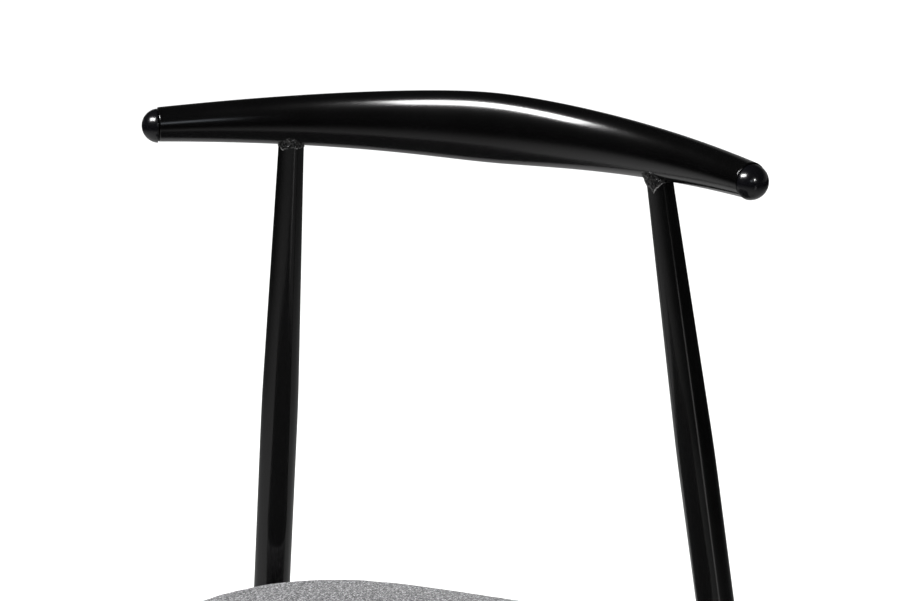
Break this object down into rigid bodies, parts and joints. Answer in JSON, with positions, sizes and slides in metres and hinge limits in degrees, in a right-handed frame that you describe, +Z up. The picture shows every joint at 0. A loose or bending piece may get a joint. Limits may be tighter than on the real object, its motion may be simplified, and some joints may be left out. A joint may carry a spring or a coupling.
{
  "type": "dining chair",
  "caption": "Metal dining chair with a bowed, tapered tube back rail with domed ends, raked round legs and an upholstered seat pad.",
  "frame": {"origin": "on the floor, at the middle of the chair's box", "axes": "+Z up, the sitter faces -Y, +X to the right as seen from the front"},
  "size_m": [0.4662, 0.4756, 0.8181],
  "materials": {
    "black_steel": "smooth semi-gloss black powder coat",
    "gloss_black_plastic": "glossy moulded black plastic",
    "matte_black_plastic": "matte moulded black plastic",
    "screw_steel": "black zinc-plated steel",
    "zinc_steel": "bright zinc-plated steel",
    "plywood": "raw birch plywood",
    "foam": "cut polyurethane foam",
    "wadding": "white polyester fibre wadding",
    "grey_fabric": "heather grey woven upholstery fabric, fine diagonal weave",
    "dust_cloth": "black spun-bonded dust cloth"
  },
  "bodies": {
    "root": {"back_rail": "black_steel", "end_cap_left": "gloss_black_plastic", "end_cap_right": "gloss_black_plastic", "back_rail_welds": "black_steel", "rear_leg_left": "black_steel", "rear_leg_right": "black_steel", "front_leg_left": "black_steel", "front_leg_right": "black_steel", "seat_rail_front": "black_steel", "seat_rail_rear": "black_steel", "seat_rail_left": "black_steel", "seat_rail_right": "black_steel", "seat_frame_welds": "black_steel", "front_leg_plugs": "matte_black_plastic", "foot_rear_left": "matte_black_plastic", "foot_rear_right": "matte_black_plastic", "foot_front_left": "matte_black_plastic", "foot_front_right": "matte_black_plastic", "seat_bracket_rear_left": "black_steel", "seat_bracket_rear_right": "black_steel", "seat_bracket_front_left": "black_steel", "seat_bracket_front_right": "black_steel", "seat_screws": "screw_steel", "seat_washers": "zinc_steel", "tee_nuts": "zinc_steel", "seat_board": "plywood", "seat_foam": "foam", "seat_wadding": "wadding", "seat_cover": "grey_fabric", "dust_cover": "dust_cloth", "staples": "zinc_steel"}
  },
  "joints": []
}
